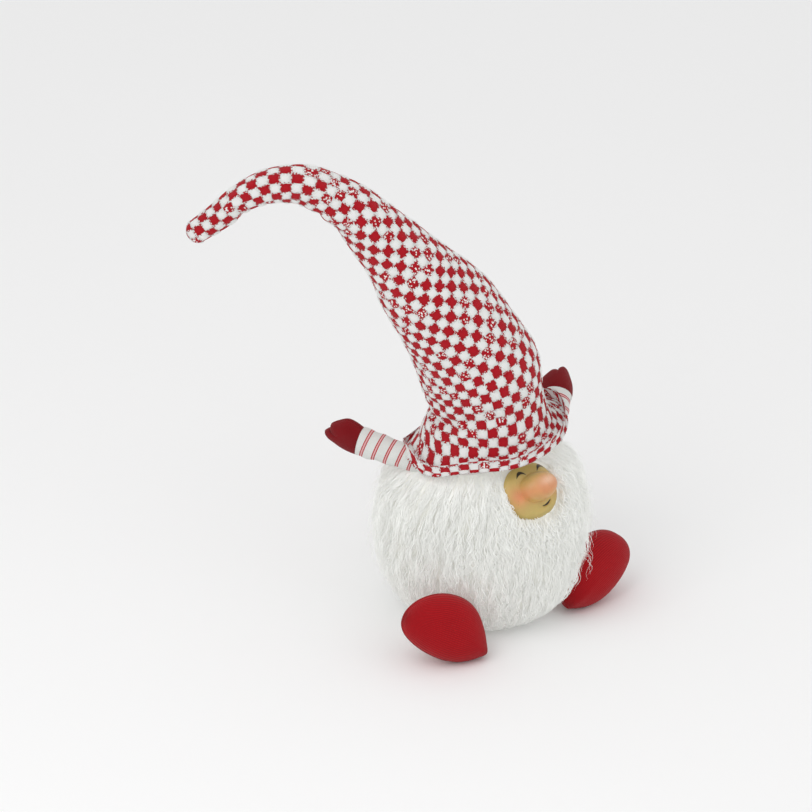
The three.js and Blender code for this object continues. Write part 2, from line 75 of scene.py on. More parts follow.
def through(stops, places, closed=False):
    # a centripetal Catmull-Rom curve through stops; places are counted in stops
    stops = np.asarray(stops, float)
    places = np.asarray(places, float)
    count = len(stops)
    if closed:
        here = np.floor(places).astype(int)
        stop = [stops[(here + step) % count] for step in (-1, 0, 1, 2)]
    else:
        here = np.clip(np.floor(places).astype(int), 0, count - 2)
        longer = np.vstack([2 * stops[0] - stops[1], stops, 2 * stops[-1] - stops[-2]])
        stop = [longer[here + 1 + step] for step in (-1, 0, 1, 2)]
    a, b, c, d = stop
    share = (places - here)[..., None]
    before, between, after = (
        np.sqrt(np.linalg.norm(far - near, axis=-1, keepdims=True))
        for near, far in ((a, b), (b, c), (c, d))
    )
    leaving = (b - a) / before - (c - a) / (before + between) + (c - b) / between
    reaching = (c - b) / between - (d - b) / (between + after) + (d - c) / after
    leaving, reaching = leaving * between, reaching * between
    curve = b + leaving * share
    curve = curve + (3 * (c - b) - 2 * leaving - reaching) * share**2
    return curve + (2 * (b - c) + leaving + reaching) * share**3


def turnX(degrees):
    c, s = math.cos(math.radians(degrees)), math.sin(math.radians(degrees))
    return np.array([[1, 0, 0], [0, c, -s], [0, s, c]])


def aimed(direction, roll=0):
    # columns are a frame whose X is the direction and whose Z is as upright as it can be, rolled about X
    x = unit(np.asarray(direction, float))
    y = unit(np.cross(up, x))
    return np.stack([x, y, np.cross(x, y)], axis=1) @ turnX(roll)


def meshFrom(name, vertices, corners, totals, uv=None, extras=None):
    mesh = bpy.data.meshes.new(name)
    mesh.vertices.add(len(vertices))
    mesh.vertices.foreach_set("co", (vertices * millimetre).astype(np.float32).ravel())
    mesh.loops.add(len(corners))
    mesh.loops.foreach_set("vertex_index", corners.astype(np.int32))
    mesh.polygons.add(len(totals))
    starts = np.concatenate([[0], np.cumsum(totals)[:-1]])
    mesh.polygons.foreach_set("loop_start", starts.astype(np.int32))
    mesh.polygons.foreach_set("loop_total", totals.astype(np.int32))
    if uv is not None:
        layer = mesh.uv_layers.new(name="UVMap")
        layer.data.foreach_set("uv", uv.astype(np.float32).ravel())
    for key, values in (extras or {}).items():
        kind = "FLOAT" if values.ndim == 1 else "FLOAT_COLOR"
        attribute = mesh.attributes.new(key, kind, "POINT")
        field = "value" if values.ndim == 1 else "color"
        attribute.data.foreach_set(field, values.astype(np.float32).ravel())
    mesh.update()
    mesh.validate()
    mesh.polygons.foreach_set("use_smooth", np.ones(len(mesh.polygons), bool))
    piece = bpy.data.objects.new(name, mesh)
    bpy.context.scene.collection.objects.link(piece)
    return piece


def skinPiece(name, points, uv, startCap=None, endCap=None, extras=None):
    # points is rows x columns x 3, closed round its columns; uv has one more column, for the seam.
    # A cap is a point and its uv height that a fan closes the end row to. Faces point outward.
    rows, columns = points.shape[:2]
    index = np.arange(rows * columns).reshape(rows, columns)
    index = np.concatenate([index, index[:, :1]], axis=1)
    spot = np.arange(rows * (columns + 1)).reshape(rows, columns + 1)
    flatUv = uv.reshape(-1, 2)
    square = lambda grid: np.stack(
        [grid[:-1, :-1], grid[:-1, 1:], grid[1:, 1:], grid[1:, :-1]], axis=-1
    ).reshape(-1, 4)
    corners, cornerUv = [square(index).ravel()], [flatUv[square(spot).ravel()]]
    totals = [np.full((rows - 1) * columns, 4)]
    vertices = [points.reshape(-1, 3)]
    total = rows * columns
    for cap, row, order in ((startCap, 0, (0, 2, 1)), (endCap, rows - 1, (0, 1, 2))):
        if cap is None:
            continue
        point, height = cap
        vertices.append(np.asarray(point, float).reshape(1, 3))
        fan = np.stack([np.full(columns, total), index[row, :-1], index[row, 1:]], axis=-1)
        rim = uv[row]
        tipUv = np.stack([(rim[:-1, 0] + rim[1:, 0]) / 2, np.full(columns, height)], axis=-1)
        fanUv = np.stack([tipUv, rim[:-1], rim[1:]], axis=1)
        corners.append(fan[:, order].ravel())
        cornerUv.append(fanUv[:, order].reshape(-1, 2))
        totals.append(np.full(columns, 3))
        total += 1
        for key in extras or {}:
            extras[key] = np.concatenate([extras[key], extras[key][row * columns : row * columns + 1]])
    piece = meshFrom(
        name,
        np.concatenate(vertices),
        np.concatenate(corners),
        np.concatenate(totals),
        np.concatenate(cornerUv),
        extras,
    )
    a, b, c, d = (points[:-1, :-1], points[:-1, 1:], points[1:, 1:], points[1:, :-1])
    middle = points.reshape(-1, 3).mean(axis=0)
    facing = np.cross(c - a, d - b)
    if np.sum(facing * ((a + c) / 2 - middle)) < 0:
        piece.data.flip_normals()
    return piece


class Graph:
    def __init__(self, tree):
        self.tree = tree

    def feed(self, socket, value):
        if isinstance(value, bpy.types.NodeSocket):
            self.tree.links.new(value, socket)
        else:
            socket.default_value = value

    def add(self, kind, settings=None, **values):
        node = self.tree.nodes.new(kind)
        for key, value in (settings or {}).items():
            setattr(node, key, value)
        for key, value in values.items():
            self.feed(node.inputs[key.replace("_", " ")], value)
        return node

    def math(self, operation, *values):
        node = self.add("ShaderNodeMath", {"operation": operation})
        for place, value in enumerate(values):
            self.feed(node.inputs[place], value)
        return node.outputs[0]

    def mix(self, share, low, high):
        node = self.add("ShaderNodeMix", {"data_type": "RGBA"})
        self.feed(node.inputs[0], share)
        self.feed(node.inputs[6], low)
        self.feed(node.inputs[7], high)
        return node.outputs[2]

    def uv(self):  # the piece's own U and V, which are millimetres of fabric
        parts = self.add("ShaderNodeSeparateXYZ")
        self.feed(parts.inputs[0], self.add("ShaderNodeUVMap", {"uv_map": "UVMap"}).outputs[0])
        return parts.outputs[0], parts.outputs[1]

    def group(self, name, **values):
        node = self.add("ShaderNodeGroup", {"node_tree": bpy.data.node_groups[name]})
        for key, value in values.items():
            self.feed(node.inputs[key], value)
        return node.outputs


def newGroup(name, takes, gives):
    tree = bpy.data.node_groups.new(name, "ShaderNodeTree")
    for key, value in takes.items():
        kind = "NodeSocketVector" if isinstance(value, tuple) else "NodeSocketFloat"
        tree.interface.new_socket(key, in_out="INPUT", socket_type=kind).default_value = value
    for key in gives:
        tree.interface.new_socket(key, in_out="OUTPUT", socket_type="NodeSocketFloat")
    graph = Graph(tree)
    return graph, graph.add("NodeGroupInput").outputs, graph.add("NodeGroupOutput").inputs


def newMaterial(name, **uniform):
    material = bpy.data.materials.new(name)
    material.use_nodes = True
    graph = Graph(material.node_tree)
    surface = material.node_tree.nodes["Principled BSDF"]
    for key, value in uniform.items():
        surface.inputs[key.replace("_", " ")].default_value = value
    return material, graph, surface


def buildStitch():
    # knit stitches as columns of V shapes: each leg of a V is a rounded yarn, and rows overlap.
    # Row is V / high - lift * distance from the column's middle line
    graph, takes, gives = newGroup(
        "knitStitch", {"U": 0.0, "V": 0.0, "Wide": 2.2, "High": 1.8}, ["Height", "Column", "Row"]
    )
    across = graph.math("DIVIDE", takes["U"], takes["Wide"])
    share = graph.math("FRACT", across)
    off = graph.math("ABSOLUTE", graph.math("SUBTRACT", share, 0.5))
    lift = graph.math("MULTIPLY", off, 1.5)
    row = graph.math("SUBTRACT", graph.math("DIVIDE", takes["V"], takes["High"]), lift)
    halfShare = graph.math("FRACT", graph.math("MULTIPLY", share, 2.0))
    leg = graph.math("SINE", graph.math("MULTIPLY", halfShare, math.pi))
    yarn = graph.math("SINE", graph.math("MULTIPLY", graph.math("FRACT", row), math.pi))
    height = graph.math("POWER", graph.math("MAXIMUM", graph.math("MULTIPLY", leg, yarn), 0.0), 0.5)
    graph.feed(gives["Height"], height)
    graph.feed(gives["Column"], graph.math("FLOOR", across))
    graph.feed(gives["Row"], graph.math("FLOOR", row))


def buildFuzz():
    # loose fibre: fine noise over broad noise, as one value about a half
    graph, takes, gives = newGroup("fibreFuzz", {"Place": (0.0, 0.0, 0.0), "Scale": 900.0}, ["Value"])
    fine = graph.add("ShaderNodeTexNoise", Vector=takes["Place"], Scale=takes["Scale"], Detail=3.0)
    broad = graph.add("ShaderNodeTexNoise", Vector=takes["Place"], Scale=60.0, Detail=2.0)
    fineShare = graph.math("MULTIPLY", fine.outputs[0], 0.65)
    broadShare = graph.math("MULTIPLY", broad.outputs[0], 0.35)
    graph.feed(gives["Value"], graph.math("ADD", fineShare, broadShare))


def buildChecks():
    # two-colour checks knitted stitch by stitch. The edge of a check is ragged, because each stitch is
    # drawn a little off its place, and some red checks show flecks of the white yarn behind them
    graph, takes, gives = newGroup(
        "knitChecks",
        {"U": 0.0, "V": 0.0, "Check": 11.0, "Column": 0.0, "Row": 0.0, "Ragged": 1.0},
        ["White", "Puff"],
    )

    def chance(x, y, shift):
        spot = graph.add("ShaderNodeCombineXYZ", X=x, Y=y, Z=shift)
        return graph.add("ShaderNodeTexWhiteNoise", Vector=spot.outputs[0]).outputs[0]

    def place(length, other):
        slack = graph.math("SUBTRACT", chance(takes["Column"], takes["Row"], other), 0.5)
        moved = graph.math("ADD", length, graph.math("MULTIPLY", slack, takes["Ragged"]))
        share = graph.math("DIVIDE", moved, takes["Check"])
        return graph.math("FLOOR", share), graph.math("FRACT", share)

    checkColumn, across = place(takes["U"], 5.0)
    checkRow, along = place(takes["V"], 9.0)
    turn = graph.math("ABSOLUTE", graph.math("MODULO", graph.math("ADD", checkColumn, checkRow), 2.0))
    white = graph.math("GREATER_THAN", turn, 0.5)
    flecked = graph.math("GREATER_THAN", chance(checkColumn, checkRow, 3.0), 0.74)
    fleck = graph.math("GREATER_THAN", chance(takes["Column"], takes["Row"], 7.0), 0.8)
    graph.feed(gives["White"], graph.math("MAXIMUM", white, graph.math("MULTIPLY", flecked, fleck)))
    dome = graph.math(
        "MULTIPLY",
        graph.math("SINE", graph.math("MULTIPLY", across, math.pi)),
        graph.math("SINE", graph.math("MULTIPLY", along, math.pi)),
    )
    graph.feed(gives["Puff"], graph.math("POWER", graph.math("MAXIMUM", dome, 0.0), 0.5))


buildStitch()
buildFuzz()
buildChecks()


def objectPlace(graph):
    return graph.add("ShaderNodeTexCoord").outputs["Object"]


def bumped(graph, surface, height, distance, strength=1.0):
    bump = graph.add("ShaderNodeBump", Height=height, Distance=distance * millimetre, Strength=strength)
    graph.feed(surface.inputs["Normal"], bump.outputs[0])


def shaded(graph, colour, value, low, high):  # colour times a factor that follows a value of 0 to 1
    factor = graph.add("ShaderNodeMapRange", Value=value, To_Min=low, To_Max=high)
    node = graph.add("ShaderNodeMix", {"data_type": "RGBA", "blend_type": "MULTIPLY"})
    graph.feed(node.inputs[0], 1.0)
    graph.feed(node.inputs[6], colour)
    graph.feed(node.inputs[7], factor.outputs[0])
    return node.outputs[2]


hat = {
    "check": 10.4,  # side of one knitted check
    "stitchesAcross": 7,
    "stitchesAlong": 8,
    "red": tone(188, 4, 26),
    "white": tone(254, 254, 252),
    "ragged": 2.2,  # how far a stitch at the edge of a check strays
    "puff": 1.5,  # how far the white checks swell
    "redPuff": 0.35,  # share of that on a red check
    "grid": 1.15,
    "over": 1.2,  # the knit stands this far outside the CAD skin
    "gather": 2.6,  # depth of the folds between the waist and the brim
    "overFall": 2.4,  # and this much less along the thin end
    "brimTilt": 11,
    "hemTurn": 12,  # how far the hem runs up inside
    "hemDepth": 2.8,
    "lift": 19,  # how far the brim rides up over an arm
    "lifts": ((151, 22, 1.0), (-12.6, 26, 0.45), (212, 30, 0.58)),  # azimuth, width, share of the lift
    "flare": 10,
    "flareAngle": 0.1,
    "flareWidth": 0.75,
    "columns": 340,
}

leanAngle = math.radians(138)
lean = np.array([math.cos(leanAngle), math.sin(leanAngle), 0.0])
leanAxis = np.cross(up, lean)
hatStations = np.array([
    [-9, 160, 88], [-7, 187, 82], [-6, 206, 69], [-5, 230, 58],
    [3, 271, 61], [15, 299, 58], [36, 336, 54], [66, 376, 45],
    [86, 404, 36], [110, 432, 30], [133, 457, 25.5], [156, 472, 23.5],
    [184, 486, 21.5], [218, 485, 19.5], [249, 470, 16], [269, 452, 15.5],
    [293, 433, 13.5],
])
lastStation = len(hatStations) - 1


def hatAt(station):  # middle, radius, direction and sideways direction at stations
    station = np.clip(station, 0, lastStation)
    here = through(hatStations, station)
    ahead = through(hatStations, np.minimum(station + 0.02, lastStation))
    behind = through(hatStations, np.maximum(station - 0.02, 0))
    step = ahead - behind
    along = unit(step[..., :1] * lean + step[..., 1:2] * up)
    middle = here[..., :1] * lean + here[..., 1:2] * up
    return middle, here[..., 2], along, np.cross(leanAxis, along)


# fabric length from the brim against stations
tableStations = np.linspace(1, lastStation, 1500)
tableMiddle, tableRadius = hatAt(tableStations)[:2]
tableSteps = np.hypot(
    np.linalg.norm(np.diff(tableMiddle, axis=0), axis=1), np.diff(tableRadius)
)
tableLengths = np.concatenate([[0], np.cumsum(tableSteps)])
hatLength = tableLengths[-1]


def hatOver(station):  # how far the knit stands off the CAD skin: less along the thin end
    return hat["over"] - hat["overFall"] * smoothstep(9, 12.5, station)


endRadius = hatStations[-1, 2] + hatOver(lastStation)


def hatSkin(lengths, angles):
    # rows of lengths x columns of angles: middle + radius (cos angle sideways + sin angle lean axis).
    # Below the waist the ring planes tilt with the brim; past the last station the end rounds off.
    length = np.asarray(lengths)[:, None]
    angle = np.asarray(angles)[None, :]
    fabric = np.clip(length, 0, None)
    station = np.interp(fabric, tableLengths, tableStations)[:, 0]
    middle, radius, along, sideways = (value[:, None] for value in hatAt(station))
    radius = radius + hatOver(station)[:, None]
    dome = np.clip(length - hatLength, 0, None) / endRadius
    bareRadius = hatAt(station)[1][:, None] * np.cos(np.clip(dome, 0, 1.5))
    swell = checkPuff(length, angle, bareRadius) + hatFolds(length, angle, station[:, None])
    swell = swell * np.cos(np.clip(dome, 0, math.pi / 2))
    tilt = math.radians(hat["brimTilt"]) * (1 - smoothstep(1, 2.8, station[:, None]))
    ring = radius * np.cos(dome) + swell
    outward = np.cos(angle)[..., None] * sideways + np.sin(angle)[..., None] * leanAxis
    rise = np.broadcast_to(endRadius * np.sin(dome), ring.shape)
    points = middle + ring[..., None] * outward + rise[..., None] * along
    points = points - (ring * np.sin(tilt) * np.cos(angle))[..., None] * along
    # the brim rides up over the arms and across the front, most at its edge
    azimuth = leanAngle + angle
    for middleAzimuth, width, share in hat["lifts"]:
        away = np.degrees(np.angle(np.exp(1j * (azimuth - math.radians(middleAzimuth)))))
        lift = share * hat["lift"] * np.exp(-((away / width) ** 2)) * np.exp(-fabric / 16)
        points = points + lift[..., None] * up
    flare = hat["flare"] * np.exp(-(((angle - hat["flareAngle"]) / hat["flareWidth"]) ** 2))
    flare = flare * np.exp(-fabric / 11)
    points = points + flare[..., None] * outward
    turned = np.clip(-length, 0, None)  # negative lengths turn under the hem and run up inside
    points = points + np.minimum(turned, hat["hemTurn"])[..., None] * up
    inside = hat["hemDepth"] * smoothstep(0, 1.6, turned) * np.ones_like(angle)
    return points - inside[..., None] * outward


def checkPuff(length, angle, radius):
    # white checks swell as |sin sin|^0.5 and red ones about a third as far
    across = (angle - math.pi / 2) * radius
    wave = np.sin(math.pi * across / hat["check"]) * np.sin(math.pi * length / hat["check"])
    puff = np.abs(wave) ** 0.5 * np.where(wave < 0, 1.0, hat["redPuff"])
    return hat["puff"] * puff * smoothstep(-2, 3, length)


def hatFolds(length, angle, station):
    # gathers run up from the brim on the side it leans to, a slack ring sits at the waist, and the
    # underside creases where the tip turns down
    side = np.exp(-(((angle - 0.6) / 1.1) ** 2))
    waist = np.exp(-(((station - 2.9) / 1.0) ** 2))
    folds = -hat["gather"] * side * waist * (0.5 + 0.5 * np.sin(angle * 13 + length / 16))
    ripple = 2.4 * side * np.sin(length / 5.2 + 1.3 * np.sin(angle * 3)) * waist
    slack = 0.9 * swayed(angle * 40 + length * 0.6, 1.4, 26) * smoothstep(2.5, 5, station)
    under = np.exp(-((np.angle(np.exp(1j * angle)) / 0.9) ** 2))
    crease = -3.4 * under * np.exp(-(((station - 11.15) / 0.16) ** 2))
    crease = crease + 1.6 * under * np.exp(-(((station - 10.75) / 0.2) ** 2))
    creaseTip = -1.6 * under * np.exp(-(((station - 14.3) / 0.14) ** 2))
    return folds + ripple + slack + crease + creaseTip


def hatMaterial():
    material, graph, surface = newMaterial(
        "hatKnit", Roughness=0.9, Sheen_Weight=0.06, Specular_IOR_Level=0.25, Emission_Strength=0.1
    )
    u, v = graph.uv()
    wide = hat["check"] / hat["stitchesAcross"]
    high = hat["check"] / hat["stitchesAlong"]
    stitch = graph.group("knitStitch", U=u, V=v, Wide=wide, High=high)
    checks = graph.group(
        "knitChecks",
        U=u,
        V=v,
        Check=hat["check"],
        Column=stitch["Column"],
        Row=stitch["Row"],
        Ragged=hat["ragged"],
    )
    fuzz = graph.group("fibreFuzz", Place=objectPlace(graph), Scale=1400.0)["Value"]
    colour = graph.mix(checks["White"], hat["red"], hat["white"])
    # painted shade and highlight: each check is darker towards its edges and lighter on its swollen top, and
    # each stitch is darker between the yarns and lighter on them
    colour = shaded(graph, colour, checks["Puff"], 0.78, 1.05)
    colour = shaded(graph, colour, stitch["Height"], 0.64, 1.12)
    colour = shaded(graph, colour, fuzz, 0.82, 1.15)
    graph.feed(surface.inputs["Base Color"], colour)
    # painted light: the knit's own colour, its painted shade included, also glows faintly as emission and
    # brightens the whole hat
    graph.feed(surface.inputs["Emission Color"], colour)
    height = graph.math("ADD", stitch["Height"], graph.math("MULTIPLY", fuzz, 0.5))
    height = graph.math("ADD", height, graph.math("MULTIPLY", checks["Puff"], 1.6))
    bumped(graph, surface, height, 0.6, 0.9)
    return material


def buildHat():
    material = hatMaterial()
    domeLength = endRadius * math.pi / 2
    cut = [np.interp(station, tableStations, tableLengths) for station in (5.2, 9.2)]
    hem, end = -hat["hemTurn"], hatLength + domeLength * 0.97
    stretches = [
        ("hat_knit_skirt", hem, cut[0], ("body", "hat_lower"), (2, 4), ("hat_skirt", "hat_cover_lower")),
        ("hat_knit_middle", cut[0], cut[1], ("hat_lower", "hat_mid"), (6, 8), ("hat_cover_mid",)),
        ("hat_knit_tip", cut[1], end, ("hat_mid", "hat_tip"), (10, 12), ("hat_cover_tip",)),
    ]
    # the seam is opposite the side that faces forward, where the checks lose columns as the hat narrows
    angles = np.linspace(-math.pi / 2, 1.5 * math.pi, hat["columns"] + 1)
    for name, low, high, bodies, bend, nodes in stretches:
        lengths = np.linspace(low, high, int((high - low) / hat["grid"]) + 1)
        if low < 0:
            lengths = np.concatenate([[-hat["hemTurn"], -8, -4, -2, -1.2, -0.6, -0.2], lengths[lengths > 0]])
        points = hatSkin(lengths, angles[:-1])
        station = np.interp(np.abs(lengths), tableLengths, tableStations)
        radius = hatAt(station)[1]
        radius = radius * np.cos(np.clip((lengths - hatLength) / endRadius, 0, math.pi / 2))
        u = (angles[None, :] - math.pi / 2) * radius[:, None]
        uv = np.stack([u, np.broadcast_to(lengths[:, None], u.shape)], axis=-1)
        cap = None
        if high > hatLength:
            tip = hatAt(lastStation)
            cap = (tip[0] + tip[2] * endRadius, hatLength + domeLength)
        piece = skinPiece(name, points, uv, endCap=cap)
        piece.data.materials.append(material)
        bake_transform(piece)
        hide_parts(*nodes)


buildHat()
print("hat done")


face = {
    "width": 64,
    "height": 58,
    "centre": np.array([-5.0, -80.0, 162.0]),
    "tilt": 33,
    "dome": 9,
    "nose": (21, 14.8, 17),
    "noseCentre": (2.6, 2, 12),
    "skin": tone(196, 172, 98),
    "rose": tone(216, 138, 92),
    # painted highlight on the nose
    "paintedHighlight": tone(244, 202, 172),
    "line": tone(34, 24, 18),
    "eyes": ((-9.5, 20.5), (18.0, 20.0)),
    "cheeks": (-21.5, 25),
    "blush": (-23, 25.5),
    "soft": 2.5,  # how softly the nose meets the face
}


def faceHeightAt(x, y):
    # a dome (1 - share)^0.55, an egg of a nose blended into it, and round cheeks under the eyes
    acrossShare = (np.abs(x) / (face["width"] / 2)) ** 2.3
    share = np.clip(acrossShare + (np.abs(y) / (face["height"] / 2)) ** 2.3, 0, 1)
    dome = face["dome"] * (1 - share) ** 0.55
    cheeks = sum(
        2.6 * np.exp(-(((x - side) / 8.5) ** 2) - ((y + 5) / 10) ** 2) for side in face["cheeks"]
    )
    lids = sum(
        1.5 * np.exp(-(((x - a) / 5.6) ** 2) - ((y - b + 1) / 3.8) ** 2) for a, b in face["eyes"]
    )
    chin = 2.0 * np.exp(-(((x - 3) / 11) ** 2) - ((y + 24) / 4.5) ** 2)
    mouth = -1.4 * np.exp(-((mouthDistance(x, y) / 1.5) ** 2))
    base = dome + (cheeks + lids + chin + mouth) * (1 - share**4)
    wide, tall, deep = face["nose"]
    cx, cy, cz = face["noseCentre"]
    across = ((x - cx) / wide) ** 2 + ((y - cy) / tall) ** 2
    egg = cz + deep * np.clip(1 - across, 0, None) ** 0.44 - 60 * np.clip(across - 1, 0, None)
    # smooth maximum of the two
    soft = face["soft"]
    mixed = np.clip(0.5 + (egg - base) / (2 * soft), 0, 1)
    return base + (egg - base) * mixed + soft * mixed * (1 - mixed)


def mouthDistance(x, y):
    # a smile: y = -18.6 + (x - 5.5)^2 / 28 from x = 3 to 15
    curve = -18.6 + (x - 5.5) ** 2 / 28
    past = np.clip(x - 15, 0, None) + np.clip(3 - x, 0, None)
    return np.hypot(y - curve, past * 2)


def buildFace():
    rows, columns = 170, 420
    share = np.linspace(0.006, 1, rows)[:, None]
    angle = np.linspace(0, 2 * math.pi, columns, endpoint=False)[None, :]
    c, s = np.cos(angle), np.sin(angle)
    rimX = face["width"] / 2 * np.sign(c) * np.abs(c) ** 0.85
    rimY = face["height"] / 2 * np.sign(s) * np.abs(s) ** 0.85
    x, y = share * rimX, share * rimY
    z = faceHeightAt(x, y)
    # the rim turns back as a thin edge, then a short way inside
    turn = np.array([[1.006, -0.4], [1.006, -1.6], [0.985, -2.2], [0.95, -2.0]])
    x = np.concatenate([x, turn[:, :1] * rimX])
    y = np.concatenate([y, turn[:, :1] * rimY])
    z = np.concatenate([z, np.broadcast_to(turn[:, 1:], (4, columns))])
    local = np.stack([x, y, z], axis=-1)
    basis = turnX(90 - face["tilt"])
    points = face["centre"] + local @ basis.T

    cx, cy, cz = face["noseCentre"]
    nose = np.exp(-((((x - cx) / 19) ** 2 + ((y - cy + 1) / 13) ** 2) ** 1.6))
    cheeks = sum(np.exp(-(((x - side) / 9) ** 2) - ((y + 1) / 11) ** 2) for side in face["blush"])
    rosy = np.clip(nose * 0.9 + cheeks * 0.85, 0, 1)
    # painted highlight: a paler patch just above and to the right of the nose's middle, mixed in up to 0.7
    highlightShare = np.exp(-(((x - cx - 3) / 10) ** 2) - ((y - cy - 4) / 5) ** 2)
    line = np.zeros_like(x)
    for a, b in face["eyes"]:
        arc = b + 1.6 - (x - a) ** 2 / 9  # a closed eye, smiling: an arch with thin ends
        thick = 1.7 * np.clip(1 - ((x - a) / 6.2) ** 2, 0, 1) ** 0.6
        line = np.maximum(line, 1 - smoothstep(0.75, 1.15, np.abs(y - arc) / np.maximum(thick, 0.05)))
    smile = 1.15 * np.clip((x - 1) / 8, 0, 1) * np.clip((16 - x) / 4, 0, 1) ** 0.5
    line = np.maximum(line, 1 - smoothstep(0.75, 1.2, mouthDistance(x, y) / np.maximum(smile, 0.05)))
    line = line * (z > 0.5)
    skin, rose, paintedHighlight, ink = (np.array(face[key]) for key in ("skin", "rose", "paintedHighlight", "line"))
    colour = skin + (rose - skin) * rosy[..., None]
    colour = colour + (paintedHighlight - colour) * (0.7 * highlightShare)[..., None]
    colour = colour + (ink - colour) * line[..., None]
    extras = {"Paint": colour.reshape(-1, 4)}

    u = np.concatenate([x, x[:, :1]], axis=1)
    v = np.concatenate([y, y[:, :1]], axis=1)
    top = np.array([0, 0, faceHeightAt(np.array(0.0), np.array(0.0))])
    cap = (face["centre"] + basis @ top, 0)
    piece = skinPiece("face_moulded", points, np.stack([u, v], axis=-1), startCap=cap, extras=extras)
    material, graph, surface = newMaterial(
        "mouldedFace", Subsurface_Weight=0.12, Subsurface_Scale=0.004, Coat_Weight=0.25, Coat_Roughness=0.35
    )
    paint = graph.add("ShaderNodeAttribute", {"attribute_name": "Paint"}).outputs["Color"]
    broad = graph.add("ShaderNodeTexNoise", Vector=objectPlace(graph), Scale=90.0, Detail=4.0).outputs[0]
    graph.feed(surface.inputs["Base Color"], shaded(graph, paint, broad, 0.86, 1.12))
    fine = graph.add("ShaderNodeTexNoise", Vector=objectPlace(graph), Scale=700.0, Detail=3.0).outputs[0]
    rough = graph.add("ShaderNodeMapRange", Value=fine, To_Min=0.36, To_Max=0.58)
    graph.feed(surface.inputs["Roughness"], rough.outputs[0])
    bumped(graph, surface, fine, 0.12, 0.5)
    piece.data.materials.append(material)
    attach(piece, "body")
    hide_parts("face_mask")


buildFace()
print("face done")


limbs = {
    "stripeEvery": 13.0,
    "red": tone(190, 12, 34),
    "pink": tone(240, 190, 190),
    "white": tone(238, 240, 236),
    "mitten": tone(136, 6, 18),
    "boot": tone(168, 8, 20),
    "knit": 1.5,  # width of one stitch on the sleeves and mittens
    "armRoot": -28,  # a sleeve starts this far inside the body
    "legRoot": -8,
}
arms = [
    {"side": "right", "mirror": 1, "shoulder": (-64, 26, 176), "direction": (-0.47, 0.86, 0.19), "roll": 0},
    {"side": "left", "mirror": -1, "shoulder": (68, -28, 171), "direction": (0.72, 0.6, 0.35), "roll": 90},
]
sleeveLength = 66
mittenOutline = [
    [-10, -11.5], [0, -15.4], [9, -18.6], [18, -19.4], [27, -14.5], [33, -9],
    [33.6, -4.6], [32.6, -2.6], [36, -1.6], [38.5, 2.6], [35.4, 6.4], [28, 9.6],
    [17, 13.4], [8, 15], [0, 15.2], [-10, 11.5],
]
bootOutline = [
    [0, 0], [7, -6.6], [24, -16.2], [44, -20], [66, -18.2], [84, -13],
    [96, -6], [101.5, 3], [101, 15], [92, 30], [77, 41], [58, 46.5],
    [40, 45.5], [26, 39], [13, 25], [5, 12],
]
mittenMiddle = np.array([15.0, -2.0])
bootMiddle = np.array([52.0, 12.0])


def pillow(outline, middle, thickness, rows=61, columns=240, ridge=0.7):
    # rings of the outline about its middle, spread sin(t)^0.8 wide and cos(t) half a thickness high,
    # with a raised seam where the two panels meet at t = 90 degrees
    edge = through(outline, np.arange(columns) * len(outline) / columns, closed=True) - middle
    tier = (np.arange(rows) + 0.5) / rows * math.pi
    spread = np.sin(tier) ** 0.8
    seam = ridge * np.exp(-(((tier - math.pi / 2) / 0.035) ** 2)) - ridge * 0.5 * np.exp(
        -(((np.abs(tier - math.pi / 2) - 0.11) / 0.05) ** 2)
    )
    reach = np.linalg.norm(edge, axis=1)
    flat = edge[None] * (spread[:, None] + seam[:, None] / reach[None])[..., None] + middle
    height = np.broadcast_to((thickness / 2 * np.cos(tier))[:, None], flat.shape[:2])
    return np.concatenate([flat, height[..., None]], axis=-1)


def stripedKnit():
    # pairs of fine red lines with pink between them, ringing the sleeve every so far along it
    material, graph, surface = newMaterial(
        "stripedKnit", Roughness=0.88, Sheen_Weight=0.15, Specular_IOR_Level=0.3
    )
    u, v = graph.uv()
    stitch = graph.group("knitStitch", U=u, V=v, Wide=limbs["knit"], High=limbs["knit"] * 0.8)
    fuzz = graph.group("fibreFuzz", Place=objectPlace(graph), Scale=1500.0)["Value"]
    wobble = graph.math("MULTIPLY", graph.math("SUBTRACT", stitch["Height"], 0.5), 0.5)
    every = limbs["stripeEvery"]
    share = graph.math("FRACT", graph.math("DIVIDE", graph.math("ADD", v, wobble), every))
    off = graph.math("MULTIPLY", graph.math("ABSOLUTE", graph.math("SUBTRACT", share, 0.5)), every)
    line = graph.math("LESS_THAN", graph.math("ABSOLUTE", graph.math("SUBTRACT", off, 1.25)), 0.55)
    between = graph.math("LESS_THAN", off, 0.8)
    colour = graph.mix(between, limbs["white"], limbs["pink"])
    colour = graph.mix(line, colour, limbs["red"])
    # painted shade: the colour darkens between the yarns of each stitch and lightens on them
    colour = shaded(graph, colour, stitch["Height"], 0.75, 1.04)
    colour = shaded(graph, colour, fuzz, 0.86, 1.12)
    graph.feed(surface.inputs["Base Color"], colour)
    bumped(graph, surface, graph.math("ADD", stitch["Height"], fuzz), 0.4, 0.7)
    return material


softYarn = {"Roughness": 0.9, "Sheen_Weight": 0.08, "Sheen_Roughness": 0.45, "Specular_IOR_Level": 0.25}


def plainKnit(name, colour, wide, high, depth):
    material, graph, surface = newMaterial(name, **softYarn)
    u, v = graph.uv()
    stitch = graph.group("knitStitch", U=u, V=v, Wide=wide, High=high)
    fuzz = graph.group("fibreFuzz", Place=objectPlace(graph), Scale=1500.0)["Value"]
    # painted shade: the colour darkens between the yarns of each stitch and lightens on them
    shade = shaded(graph, colour, stitch["Height"], 0.6, 1.08)
    graph.feed(surface.inputs["Base Color"], shaded(graph, shade, fuzz, 0.75, 1.2))
    height = graph.math("ADD", stitch["Height"], graph.math("MULTIPLY", fuzz, 0.7))
    bumped(graph, surface, height, depth, 0.9)
    return material


